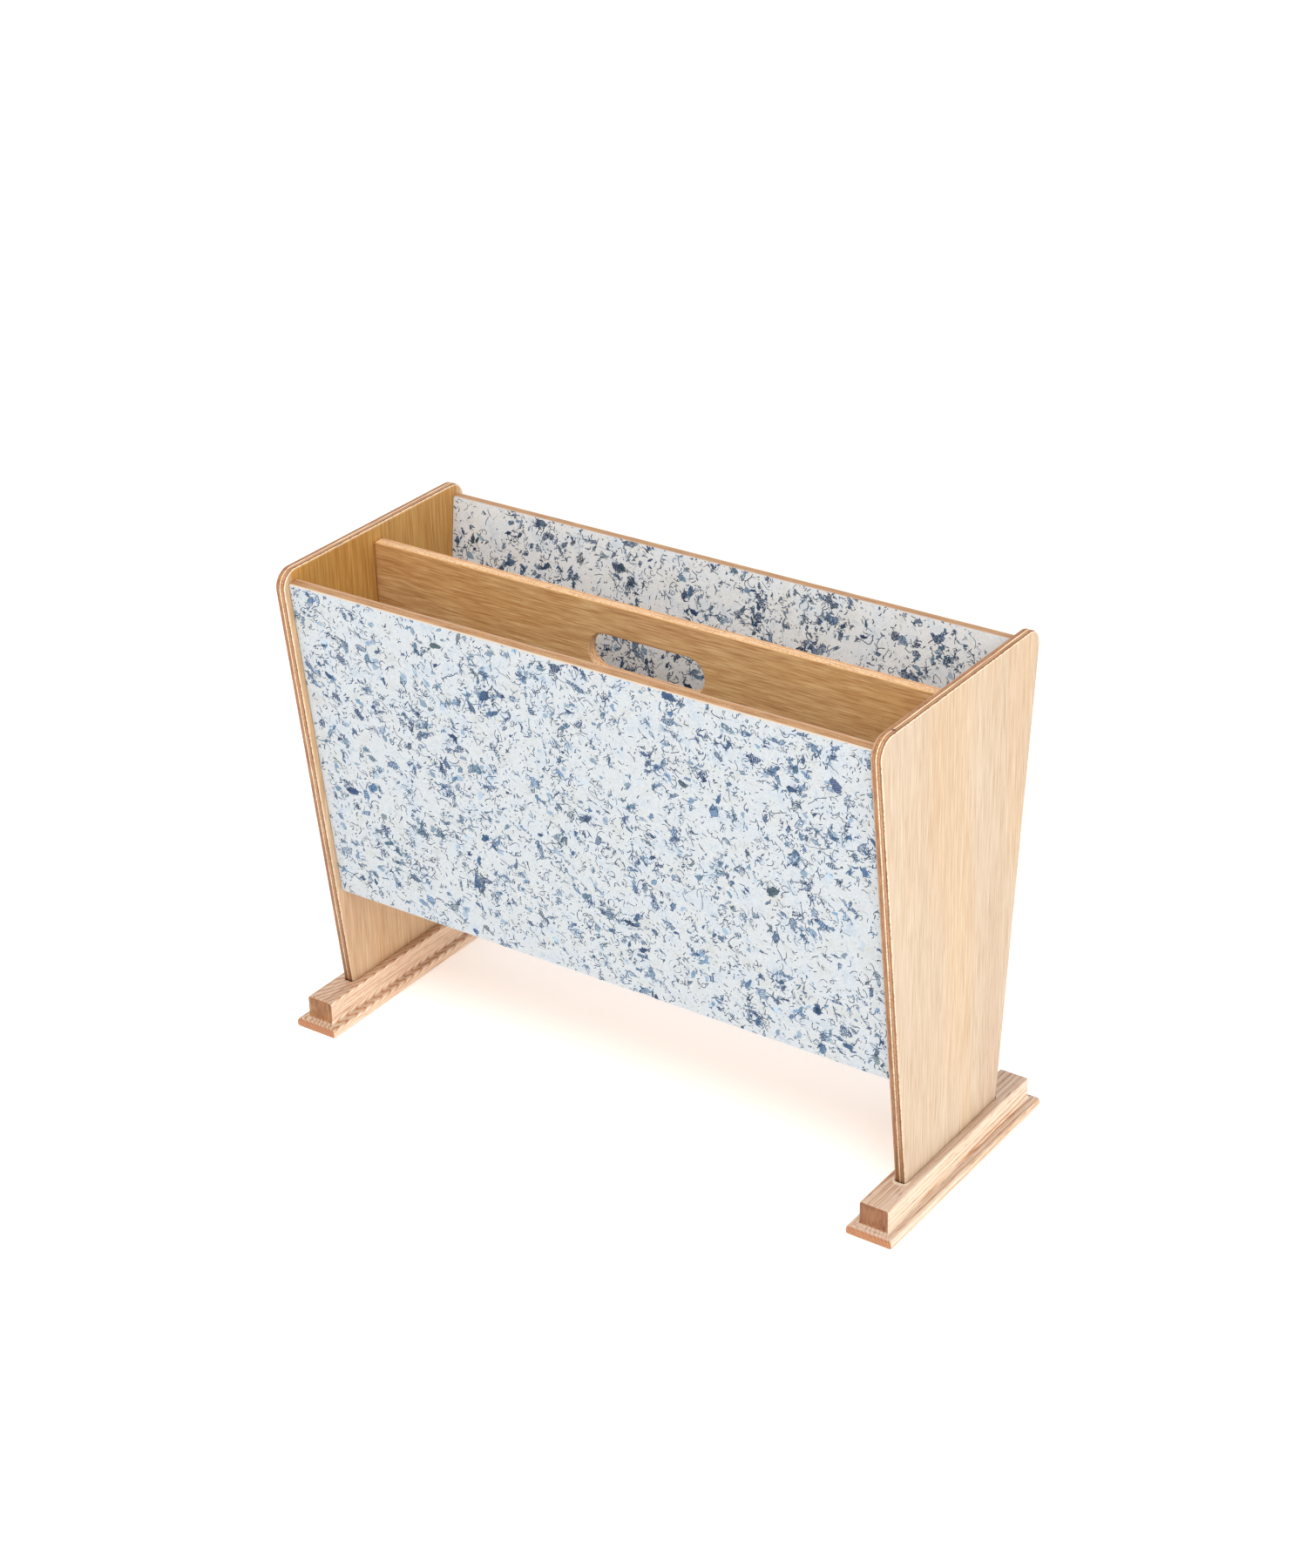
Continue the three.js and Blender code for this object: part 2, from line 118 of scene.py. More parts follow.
class Nodes:
    """A material's nodes. Each method adds a node and returns its output socket."""

    def __init__(self, name):
        self.material = bpy.data.materials.new(name)
        self.material.use_nodes = True
        self.tree = self.material.node_tree
        self.shader = self.tree.nodes["Principled BSDF"]

    def put(self, socket, value):
        if isinstance(value, bpy.types.NodeSocket):
            self.tree.links.new(value, socket)
        else:
            socket.default_value = value

    def add(self, kind, output, sockets, **settings):
        node = self.tree.nodes.new("ShaderNode" + kind)
        for key, value in settings.items():
            setattr(node, key, value)
        for key, value in sockets.items():
            self.put(node.inputs[key], value)
        return node.outputs[output]

    def coordinates(self, kind="Object"):
        return self.add("TexCoord", kind, {})

    def dot(self, vector, axis):
        return self.add("VectorMath", "Value", {0: vector, 1: tuple(axis)}, operation="DOT_PRODUCT")

    def offset(self, place):
        """The vector from a place in the piece to the point shaded."""
        sockets = {0: self.coordinates(), 1: tuple(place)}
        return self.add("VectorMath", "Vector", sockets, operation="SUBTRACT")

    def length(self, vector):
        return self.add("VectorMath", "Value", {0: vector}, operation="LENGTH")

    def combine(self, x, y, z):
        return self.add("CombineXYZ", "Vector", {0: x, 1: y, 2: z})

    def scaled(self, vector, scale, place=(0, 0, 0)):
        return self.add("Mapping", "Vector", {"Vector": vector, "Scale": scale, "Location": place})

    def math(self, operation, a, b=0.0, c=0.0):
        return self.add("Math", "Value", {0: a, 1: b, 2: c}, operation=operation)

    def times(self, a, b):
        return self.math("MULTIPLY", a, b)

    def times_plus(self, a, b, c):
        return self.math("MULTIPLY_ADD", a, b, c)

    def noise(self, vector, scale, place=(0, 0, 0), detail=2.0, roughness=0.5, distortion=0.0):
        """Noise of the vector after a scale in cycles per metre along each axis."""
        settings = {"Scale": 1.0, "Detail": detail, "Roughness": roughness, "Distortion": distortion}
        return self.add("TexNoise", "Fac", {"Vector": self.scaled(vector, scale, place), **settings})

    def spread(self, value, low, high, new_low=0.0, new_high=1.0):
        """value from low to high, taken to new_low to new_high and held there beyond."""
        sockets = {0: value, 1: low, 2: high, 3: new_low, 4: new_high}
        return self.add("MapRange", 0, sockets, clamp=True)

    def ramp(self, value, stops, interpolation="LINEAR"):
        node = self.tree.nodes.new("ShaderNodeValToRGB")
        node.color_ramp.interpolation = interpolation
        elements = node.color_ramp.elements
        while len(elements) < len(stops):
            elements.new(0.5)
        for element, (place, color) in zip(elements, stops):
            element.position = place
            element.color = color
        self.put(node.inputs[0], value)
        return node.outputs[0]

    def mix(self, factor, a, b, blend="MIX"):
        node = self.tree.nodes.new("ShaderNodeMix")
        node.data_type = "RGBA"
        node.blend_type = blend
        self.put(node.inputs[0], factor)
        self.put(node.inputs[6], a)
        self.put(node.inputs[7], b)
        return node.outputs[2]

    def tinted(self, color, tint):
        return self.mix(1.0, color, tint, "MULTIPLY")

    def near(self, place, reach, fade):
        """1 within reach of a point of the piece, 0 beyond reach + fade. Both in millimetres."""
        return self.spread(self.length(self.offset(place)), (reach + fade) * MM, reach * MM)

    def finish(self, color, roughness, height=None, depth=0.0, **plain):
        """Links the shader. height makes bumps depth metres deep; plain sets other sockets."""
        self.put(self.shader.inputs["Base Color"], color)
        self.put(self.shader.inputs["Roughness"], roughness)
        if height is not None:
            bump = self.add("Bump", "Normal", {"Height": height, "Strength": 1.0, "Distance": depth})
            self.put(self.shader.inputs["Normal"], bump)
        for key, value in plain.items():
            self.shader.inputs[key.replace("_", " ")].default_value = value
        return self.material


# ---- Wood ----

def board_coordinates(nodes, through, along, centre):
    """Coordinates in a board: through its thickness, along the face's grain, across it."""
    place = nodes.offset(centre)
    across = through.cross(along)
    return nodes.dot(place, through), nodes.dot(place, along), nodes.dot(place, across)


FINE_SHARE = 0.50
DASH_SHARE = 0.30
MEDIUM_SHARE = 0.10
BROAD_SHARE = 0.10
PATCH_TINTS = [(0.36, rgb(251, 242, 230)), (0.5, rgb(250, 249, 248)), (0.64, rgb(247, 241, 241))]


def veneer(nodes, through, along, across, tones, pore):
    """Straight-grained sliced veneer: (colour, grain height).

    Each noise's scale is in cycles per metre across the grain, along it and through the board.
    """
    here = nodes.combine(across, along, through)
    sway = nodes.noise(here, (14, 5, 40), detail=1)
    ripple = nodes.noise(here, (60, 34, 60), (4.4, 1.2, 0), detail=1)
    swayed = nodes.times_plus(sway, 0.002, across)
    swayed = nodes.times_plus(ripple, 0.0004, swayed)
    lines = nodes.combine(swayed, along, through)
    fine = nodes.noise(lines, (1000, 36, 300), roughness=0.6)
    dashes = nodes.noise(lines, (1600, 64, 300), (2.3, 6.1, 0), detail=1)
    medium = nodes.noise(lines, (240, 4.5, 90), (3.1, 0.4, 0))
    broad = nodes.noise(lines, (38, 2.4, 20), (7.7, 2.9, 0), detail=1)
    thin = nodes.times_plus(fine, FINE_SHARE, nodes.times(dashes, DASH_SHARE))
    thick = nodes.times_plus(medium, MEDIUM_SHARE, nodes.times(broad, BROAD_SHARE))
    color = nodes.ramp(nodes.math("ADD", thin, thick), tones)
    patches = nodes.noise(here, (15, 4, 12), (1.1, 8.2, 0))
    color = nodes.tinted(color, nodes.ramp(patches, PATCH_TINTS))
    pores = nodes.noise(lines, (2300, 110, 300), (1.7, 5.3, 0), detail=1)
    open_pores = nodes.spread(pores, 0.64, 0.72)
    color = nodes.mix(nodes.times(open_pores, 0.4), color, pore)
    return color, nodes.times_plus(open_pores, -0.8, fine)


def plies(nodes, through, along, across, layers, half):
    """The layers seen on a plywood edge. layers: (thickness in mm, colour, grain runs along)."""
    stops = []
    turns = []
    start = 0.0
    for thickness, color, runs_along in layers:
        stops.append((start / (2 * half), color))
        turns.append((start / (2 * half), (1, 1, 1, 1) if runs_along else (0, 0, 0, 1)))
        start += thickness
    depth = nodes.spread(through, -half * MM, half * MM)
    color = nodes.ramp(depth, stops, "CONSTANT")
    turn = nodes.ramp(depth, turns, "CONSTANT")
    here = nodes.combine(across, along, through)
    streaks_along = nodes.noise(here, (900, 40, 900))
    streaks_across = nodes.noise(here, (40, 900, 900))
    streaks = nodes.mix(turn, streaks_across, streaks_along)
    shade = nodes.ramp(streaks, [(0.32, rgb(210, 196, 184)), (0.58, WHITE)])
    blotch = nodes.noise(here, (70, 70, 400))
    tint = nodes.ramp(blotch, [(0.35, rgb(240, 228, 216)), (0.65, WHITE)])
    color = nodes.tinted(color, shade)
    return nodes.tinted(color, tint)


PLY_PEACH = rgb(191, 147, 109)
PLY_BROWN = rgb(154, 104, 67)
PLY_ORANGE = rgb(174, 122, 81)
PLY_CREAM = rgb(234, 208, 168)
PLY_PALE = rgb(190, 148, 104)
TOP_LIGHT = rgb(238, 204, 164)
TOP_PEACH = rgb(226, 184, 140)
TOP_ORANGE = rgb(214, 166, 120)
GLUE_DARK = rgb(92, 56, 34)
GLUE_BROWN = rgb(120, 74, 44)
DIVIDER_FACE = rgb(226, 180, 126)
# Tones of the rounded arrises: light cut fibres with a painted highlight.
CUT_FIBRE_AND_HIGHLIGHT_CREAM = rgb(255, 240, 210)
CUT_FIBRE_AND_HIGHLIGHT_HONEY = rgb(232, 186, 132)
SCUFF_GREY = rgb(92, 80, 72)
KNOT_BROWN = rgb(84, 50, 30)
FINISH_GLINT_PALE = rgb(240, 228, 206)

# From the -X side of an end panel to its +X side.
END_LAYERS = (
    (0.68, PLY_CREAM, True),
    (0.16, GLUE_BROWN, True),
    (1.10, PLY_PEACH, False),
    (0.22, GLUE_BROWN, True),
    (1.60, PLY_ORANGE, True),
    (0.20, GLUE_BROWN, True),
    (0.95, rgb(252, 230, 194), False),
    (0.34, GLUE_DARK, True),
    (1.30, PLY_PEACH, False),
    (0.72, PLY_BROWN, True),
    (0.68, PLY_CREAM, True),
)
DIVIDER_LAYERS = (
    (0.60, DIVIDER_FACE, True),
    (0.14, GLUE_BROWN, True),
    (1.30, TOP_LIGHT, False),
    (1.30, TOP_PEACH, True),
    (1.32, TOP_LIGHT, False),
    (1.30, TOP_ORANGE, True),
    (1.30, TOP_PEACH, False),
    (0.14, GLUE_BROWN, True),
    (0.60, DIVIDER_FACE, True),
)
CORE_LAYERS = (
    (1.55, PLY_PALE, True),
    (0.25, PLY_BROWN, True),
    (1.35, rgb(186, 148, 108), False),
    (0.20, PLY_BROWN, True),
    (1.65, PLY_PALE, True),
)
VENEER_DEPTH = 3.32  # from the middle of an 8 mm board to the back of its face veneer

# Where an end panel's inner face lies between the leaning panels, in metres: |y| < reach + lean * z.
# It takes a painted shade there.
LEAN = 0.1162
POCKET_REACH = 0.0465
POCKET_FLOOR = 0.110
SOFT_EDGE = 0.001
OUTSIDE_SHARE = 0.3


def pocket_shade_mask(nodes, inner_side):
    """Where the painted shade falls: 1 on an end panel's inner face between the leaning panels, less
    round them, 0 outside.
    """
    here = nodes.coordinates()
    away = nodes.math("ABSOLUTE", nodes.dot(here, Y_AXIS))
    rise = nodes.dot(here, Z_AXIS)
    lean = nodes.times_plus(rise, -LEAN, away)
    between = nodes.spread(lean, POCKET_REACH + SOFT_EDGE, POCKET_REACH - SOFT_EDGE)
    above = nodes.spread(rise, POCKET_FLOOR - SOFT_EDGE, POCKET_FLOOR + SOFT_EDGE)
    facing = nodes.spread(nodes.dot(nodes.coordinates("Normal"), X_AXIS * inner_side), 0.4, 0.8)
    inside = nodes.times(between, above)
    share = nodes.times_plus(inside, 1 - OUTSIDE_SHARE, OUTSIDE_SHARE)
    return nodes.times(share, facing)


def plywood(
    name,
    through,
    along,
    centre,
    wood,
    layers,
    half=PLY / 2,
    skin=VENEER_DEPTH,
    edge=None,
    inner_side=0,
    stretch=1.0,
    knot=None,
):
    """A plywood board with a veneered face. wood: the veneer's tones and its pores' colour.

    half: half the board's thickness. skin: where the face veneer starts. Both are in mm.
    edge: the tone of the rounded arrises, light cut fibres with a painted highlight. inner_side: the
    sign of an end panel's inner face in x, whose pockets take a painted shade.
    stretch: how much longer the grain's strokes are. knot: the place of a small dark knot.
    """
    nodes = Nodes(name)
    t, g, c = board_coordinates(nodes, through, along, centre)
    face, height = veneer(nodes, t, nodes.times(g, 1 / stretch), c, *wood)
    # Painted shade: between the leaning panels the inner face is tinted darker and warmer, standing
    # in for shade and light bounced off the wood; OUTSIDE_SHARE of it reaches the rest of the inner
    # face.
    if inner_side:
        streaks = nodes.noise(nodes.combine(c, g, t), (620, 26, 60))
        pocket_shade_tint = nodes.ramp(streaks, [(0.38, rgb(236, 193, 120)), (0.62, rgb(255, 224, 152))])
        pocket_shaded_face = nodes.tinted(face, pocket_shade_tint)
        face = nodes.mix(pocket_shade_mask(nodes, inner_side), face, pocket_shaded_face)
    inside = plies(nodes, t, g, c, layers, half)
    depth = nodes.math("ABSOLUTE", t)
    is_face = nodes.spread(depth, (skin - 0.03) * MM, (skin + 0.03) * MM)
    # Painted highlight: the rounded arrises are mixed towards the edge tone, light cut fibres and the
    # highlight they catch.
    if edge is not None:
        facing = nodes.math("ABSOLUTE", nodes.dot(nodes.coordinates("Normal"), through))
        rounded = nodes.spread(facing, 0.97, 0.70)
        face = nodes.mix(nodes.times(rounded, 0.85), face, edge)
    color = nodes.mix(is_face, inside, face)
    if edge is not None:
        near = nodes.math("SUBTRACT", depth, skin * MM)
        line = nodes.spread(nodes.math("ABSOLUTE", near), 0.10 * MM, 0.22 * MM, 1.0, 0.0)
        here = nodes.combine(c, g, t)
        broken = nodes.spread(nodes.noise(here, (420, 420, 60)), 0.50, 0.60)
        dashes = nodes.times(nodes.times(line, broken), 0.75)
        color = nodes.mix(dashes, color, SCUFF_GREY)
    if knot is not None:
        color = nodes.mix(nodes.near(knot, 0.7, 1.0), color, KNOT_BROWN)
    rough = nodes.spread(height, 0.2, 0.8, 0.56, 0.42)
    return nodes.finish(color, rough, height, 0.00004, Specular_IOR_Level=0.4)


END_TONES = [
    (0.37, rgb(196, 166, 134)),
    (0.46, rgb(209, 184, 155)),
    (0.54, rgb(217, 194, 167)),
    (0.63, rgb(227, 207, 182)),
]
DIVIDER_TONES = [
    (0.35, rgb(172, 123, 75)),
    (0.46, rgb(196, 149, 98)),
    (0.54, rgb(212, 170, 117)),
    (0.67, rgb(229, 192, 143)),
]
END_WOOD = (END_TONES, rgb(182, 140, 98))
DIVIDER_WOOD = (DIVIDER_TONES, rgb(120, 76, 42))


RING_BROWN = rgb(194, 128, 82)


def ash(name, pith, lean, spacing, warping, calm, seed, top, band, ends, housing=None):
    """Flat-sawn ash: rings round a pith line at (x, z), which leans by lean along y.

    warping: how far the rings wander, in metres. calm: how far some rings fade, from 0 to 1.
    top: a painted shade that darkens the upward faces. band: how wide the rings' dark part is, from 0
    to 1.
    ends: the two tones of the end grain. housing: the place of the pale ring, pooled finish with a
    painted glint, if any.
    """
    nodes = Nodes(name)
    here = nodes.coordinates()
    warp = nodes.noise(here, (30, 7, 30), seed)
    small = nodes.noise(here, (160, 26, 160), seed)
    length = nodes.dot(here, Y_AXIS)
    out_x = nodes.math("SUBTRACT", nodes.dot(here, X_AXIS), pith[0])
    out_z = nodes.math("SUBTRACT", nodes.dot(here, Z_AXIS), pith[1])
    depth = nodes.length(nodes.combine(out_x, 0.0, out_z))
    depth = nodes.times_plus(length, lean, depth)
    depth = nodes.times_plus(warp, warping, depth)
    depth = nodes.times_plus(small, 0.0008, depth)
    turns = nodes.math("FRACT", nodes.times(depth, 1 / (spacing * MM)))
    rings = nodes.ramp(
        turns,
        [
            (0.00, RING_BROWN),
            (0.09 * band, rgb(218, 164, 120)),
            (0.24 * band, rgb(240, 210, 178)),
            (0.60, rgb(254, 241, 222)),
            (1 - 0.12 * band, rgb(246, 223, 198)),
            (1 - 0.04 * band, rgb(222, 172, 128)),
            (1.00, RING_BROWN),
        ],
    )
    years = nodes.noise(nodes.combine(depth, seed[1], length), (130, 1, 3))
    faint = nodes.spread(years, 0.36, 0.60)
    rings = nodes.mix(nodes.times(faint, calm), rings, rgb(245, 223, 199))
    fibre = nodes.noise(here, (1500, 20, 1500), seed, roughness=0.6)
    lines = nodes.ramp(fibre, [(0.32, rgb(212, 190, 174)), (0.48, rgb(248, 242, 236)), (0.60, WHITE)])
    color = nodes.tinted(rings, lines)
    pores = nodes.noise(here, (1900, 90, 1900), seed, detail=1)
    early = nodes.spread(turns, 0.05, 0.4, 1.0, 0.35)
    holes = nodes.times(nodes.spread(pores, 0.57, 0.66), early)
    color = nodes.mix(nodes.times(holes, 0.75), color, rgb(168, 108, 70))
    normal = nodes.coordinates("Normal")
    # Painted shade: the upward faces are darkened by the top tone.
    top_shade_mask = nodes.spread(nodes.dot(normal, Z_AXIS), 0.5, 0.9)
    color = nodes.mix(top_shade_mask, color, nodes.tinted(color, top))
    streaks = nodes.noise(here, (1000, 1000, 130), seed, roughness=0.6)
    figure = nodes.noise(here, (95, 95, 55), seed, detail=1, distortion=0.8)
    end_tone = nodes.ramp(streaks, [(0.34, ends[0]), (0.66, ends[1])])
    end_shade = nodes.ramp(figure, [(0.40, rgb(214, 196, 184)), (0.56, WHITE)])
    end_tone = nodes.tinted(end_tone, end_shade)
    end_tone = nodes.mix(0.22, end_tone, nodes.tinted(rings, rgb(176, 132, 98)))
    end_grain = nodes.spread(nodes.math("ABSOLUTE", nodes.dot(normal, Y_AXIS)), 0.45, 0.8)
    # Painted light: below the lip's top the end grain takes the lighter side colour, as the lip's
    # sloping front catches more light.
    low = nodes.spread(nodes.dot(here, Z_AXIS), (LIP_TOP + 1) * MM, LIP_TOP * MM)
    end_tone = nodes.mix(low, end_tone, nodes.tinted(color, rgb(190, 146, 112)))
    color = nodes.mix(end_grain, color, end_tone)
    if housing is not None:
        # Painted glint: a pale ring round the housing's front end, on pooled finish.
        ring = nodes.near(housing, 5.3, 0.6)
        color = nodes.mix(nodes.times(ring, 0.5), color, FINISH_GLINT_PALE)
    height = nodes.times_plus(holes, -1.0, fibre)
    rough = nodes.spread(fibre, 0.2, 0.8, 0.5, 0.36)
    return nodes.finish(color, rough, height, 0.00005, Specular_IOR_Level=0.5)


def beech(name):
    nodes = Nodes(name)
    here = nodes.coordinates()
    fibre = nodes.noise(here, (120, 1400, 1400))
    color = nodes.ramp(fibre, [(0.3, rgb(196, 150, 106)), (0.7, rgb(224, 184, 140))])
    return nodes.finish(color, nodes.spread(fibre, 0.2, 0.8, 0.75, 0.6), fibre, 0.00003)


def zinc(name):
    nodes = Nodes(name)
    here = nodes.coordinates()
    marks = nodes.noise(here, (2600, 2600, 400))
    color = nodes.ramp(marks, [(0.3, rgb(176, 180, 186)), (0.7, rgb(214, 217, 222))])
    return nodes.finish(color, nodes.spread(marks, 0.2, 0.8, 0.42, 0.28), Metallic=1.0)


# ---- Pressed textile ----

SHEET_WHITE = rgb(217, 221, 223)


def felt(name, seed, painted_light_level, edge):
    """The pale ground: shredded white textile with faint clouds of dye and stray fibres.

    The sheet's own y runs up the slope, so its upper edge faces along y. edge: that edge's tone.
    """
    nodes = Nodes(name)
    here = nodes.coordinates()
    clouds = nodes.noise(here, (60, 60, 60), (seed, 0, 0), detail=3, roughness=0.6)
    color = nodes.ramp(
        clouds,
        [
            (0.32, rgb(213, 215, 213)),
            (0.46, rgb(219, 222, 223)),
            (0.60, rgb(214, 220, 225)),
            (0.72, rgb(200, 210, 219)),
        ],
    )
    wisps = nodes.noise(
        here, (190, 190, 190), (0, seed, 0), detail=3, roughness=0.65, distortion=1.2
    )
    stain = nodes.spread(wisps, 0.58, 0.74)
    color = nodes.mix(nodes.times(stain, 0.55), color, rgb(172, 186, 199))
    fibres = nodes.noise(
        here, (620, 620, 620), (seed, seed, 0), detail=3, roughness=0.7, distortion=2.5
    )
    shade = nodes.ramp(fibres, [(0.34, rgb(226, 228, 230)), (0.56, WHITE)])
    color = nodes.tinted(color, shade)
    # Painted light: the inner sheets' ground is painted lighter and the outer sheets' darker,
    # standing in for the light each side gets.
    color = nodes.tinted(color, (painted_light_level, painted_light_level, painted_light_level, 1.0))
    upper_edge = nodes.spread(nodes.dot(nodes.coordinates("Normal"), Y_AXIS), 0.12, 0.40)
    color = nodes.mix(nodes.times(upper_edge, 0.85), color, edge)
    height = nodes.times_plus(wisps, 0.8, fibres)
    return nodes.finish(color, 0.86, height, 0.00018, Specular_IOR_Level=0.25)


def dyed(name, twill):
    """Coloured scraps in the sheet. Their colour is the dye attribute; twill draws the weave."""
    nodes = Nodes(name)
    dye = nodes.add("Attribute", "Color", {}, attribute_name="dye")
    here = nodes.coordinates()
    mottle = nodes.noise(here, (700, 700, 700), roughness=0.6)
    color = nodes.mix(nodes.spread(mottle, 0.42, 0.75, 0.0, 0.2), dye, rgb(160, 174, 186))
    if twill:
        weave = nodes.add("Attribute", "Vector", {}, attribute_name="weave")
        parts = nodes.tree.nodes.new("ShaderNodeSeparateXYZ")
        nodes.put(parts.inputs[0], weave)
        wave = nodes.math("SINE", parts.outputs[0])
        stripes = nodes.times(nodes.spread(wave, 0.0, 0.7), parts.outputs[1])
        color = nodes.mix(stripes, color, rgb(192, 201, 208))
        gaps = nodes.noise(here, (950, 950, 950), (9, 4, 2), detail=1)
        worn = nodes.times(nodes.spread(gaps, 0.50, 0.58), parts.outputs[2])
        color = nodes.mix(worn, color, SHEET_WHITE)
    return nodes.finish(color, 0.85, Specular_IOR_Level=0.2)


# ---- Mesh building ----

def rounded_outline(corners, steps=ARC_STEPS):
    """A closed outline, counter-clockwise, through corners (x, y, radius)."""
    points = []
    for i, (x, y, radius) in enumerate(corners):
        here = Vector((x, y))
        if radius == 0:
            points.append(here)
            continue
        back = (Vector(corners[i - 1][:2]) - here).normalized()
        ahead = (Vector(corners[(i + 1) % len(corners)][:2]) - here).normalized()
        half = back.angle(ahead) / 2
        centre = here + (back + ahead).normalized() * radius / sin(half)
        start = here + back * radius / tan(half) - centre
        begin = atan2(start.y, start.x)
        sweep = pi - 2 * half
        for k in range(steps + 1):
            angle = begin + sweep * k / steps
            points.append(centre + radius * Vector((cos(angle), sin(angle))))
    return points


def rectangle(half, bottom, top, lower=0, upper=0):
    return rounded_outline(
        [(-half, bottom, lower), (half, bottom, lower), (half, top, upper), (-half, top, upper)]
    )


def stadium(half, radius, centre_y=0.0):
    """A slot along x with half-round ends, counter-clockwise."""
    points = []
    for side, begin in ((1, -pi / 2), (-1, pi / 2)):
        for k in range(ROUND_STEPS // 2 + 1):
            angle = begin + pi * k / (ROUND_STEPS // 2)
            x = side * (half - radius) + radius * cos(angle)
            points.append(Vector((x, centre_y + radius * sin(angle))))
    return points


def inset(points, distance):
    """The outline moved to its left by distance, with mitred corners."""
    moved = []
    for i, here in enumerate(points):
        a = (here - points[i - 1]).normalized()
        b = (points[(i + 1) % len(points)] - here).normalized()
        left_a = Vector((-a.y, a.x))
        left_b = Vector((-b.y, b.x))
        moved.append(here + (left_a + left_b) * distance / (1 + left_a.dot(left_b)))
    return moved


def arris_levels(thickness, radius, support=END_SUPPORT):
    """(inset, height) from the lower face of a board, round both arrises, to the upper face."""
    lower = [(radius + support, 0.0)]
    for k in range(ARRIS_STEPS + 1):
        angle = pi / 2 * k / ARRIS_STEPS
        lower.append((radius * (1 - sin(angle)), radius * (1 - cos(angle))))
    upper = [(reach, thickness - height) for reach, height in reversed(lower)]
    return lower + upper


class Body:
    """A closed mesh in the making. Points are in millimetres in the piece's own frame."""

    def __init__(self):
        self.mesh = bmesh.new()

    def ring(self, points):
        return [self.mesh.verts.new(Vector(point) * MM) for point in points]

    def wall(self, rings, smooth=True):
        for low, high in zip(rings, rings[1:]):
            for i in range(len(low)):
                corners = (low[i - 1], low[i], high[i], high[i - 1])
                self.mesh.faces.new(corners).smooth = smooth

    def cap(self, rings):
        """A flat face bounded by rings, the first of them the outer one."""
        if len(rings) == 1:
            self.mesh.faces.new(rings[0])
            return
        edges = [self.mesh.edges.get((r[i - 1], r[i])) for r in rings for i in range(len(r))]
        filled = bmesh.ops.triangle_fill(self.mesh, use_beauty=True, edges=edges)
        for item in filled["geom"]:
            if isinstance(item, bmesh.types.BMFace):
                item.smooth = False

    def board(self, outlines, levels, place):
        """A board with rounded arrises. place(x, y, height) turns a drawn point into mm."""
        first = []
        last = []
        for outline in outlines:
            rings = []
            for reach, height in levels:
                rings.append(self.ring([place(p.x, p.y, height) for p in inset(outline, reach)]))
            self.wall(rings)
            first.append(rings[0])
            last.append(rings[-1])
        self.cap(first)
        self.cap(last)

    def piece(self, name, material, slot, place, *nodes):
        bmesh.ops.recalc_face_normals(self.mesh, faces=self.mesh.faces)
        data = bpy.data.meshes.new(name)
        self.mesh.to_mesh(data)
        self.mesh.free()
        return add_piece(name, data, material, slot, place, *nodes)


def add_piece(name, data, material, slot, place, *nodes):
    data.materials.append(material)
    piece = bpy.data.objects.new(name, data)
    SCENE.collection.objects.link(piece)
    piece.matrix_world = place
    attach(piece, "root")
    if nodes:
        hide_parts(*nodes)
    return piece


def middle(node):
    low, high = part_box(node)
    return (low + high) / 2


# ---- End panels ----

def end_panel(side, material):
    node = f"{side}_end_panel"
    low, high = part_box(node)
    centre = (low.x + high.x) / 2
    top = high.z / MM
    bottom = low.z / MM
    foot_half = foot_depth(node) / MM
    top_half = sloping_edge(node) / MM
    outline = rounded_outline(
        [
            (-foot_half, bottom, 0),
            (foot_half, bottom, 0),
            (top_half, top, END_CORNER_RADIUS),
            (-top_half, top, END_CORNER_RADIUS),
        ],
        ARC_STEPS * 2,
    )
    body = Body()
    levels = arris_levels(PLY, END_ARRIS)
    body.board([outline], levels, lambda y, z, x: (x - PLY / 2, y, z))
    place = Matrix.Translation((centre, 0, 0))
    body.piece(f"{side}_end_board", material, "end_panel_veneer", place, node)


def foot_depth(node):
    """Half the panel's depth at its lowest edge."""
    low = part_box(node)[0]
    return max(v.co.y for v in NODES[node].data.vertices if v.co.z < low.z + 2 * MM)


def sloping_edge(node):
    """Half the depth at which the sloping edge would meet the panel's top without its corner."""
    low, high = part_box(node)
    foot = foot_depth(node)
    rise = high.z - low.z
    best = max(
        ((v.co.y - foot) / (v.co.z - low.z))
        for v in NODES[node].data.vertices
        if v.co.z > low.z + rise / 2
    )
    return foot + best * rise


RIGHT_KNOT = (0.0010, -0.0760, 0.3480)  # in the panel, on its top edge near the front
for side, sign in (("left", 1), ("right", -1)):
    face_veneer = plywood(
        f"{side} end veneer",
        X_AXIS,
        Z_AXIS,
        (0, sign * 0.31, sign * 0.17),  # each panel is cut from its own place in the sheet
        END_WOOD,
        END_LAYERS,
        edge=CUT_FIBRE_AND_HIGHLIGHT_CREAM,
        inner_side=sign,
        stretch=1.5,
        knot=RIGHT_KNOT if side == "right" else None,
    )
    end_panel(side, face_veneer)


# ---- Divider ----

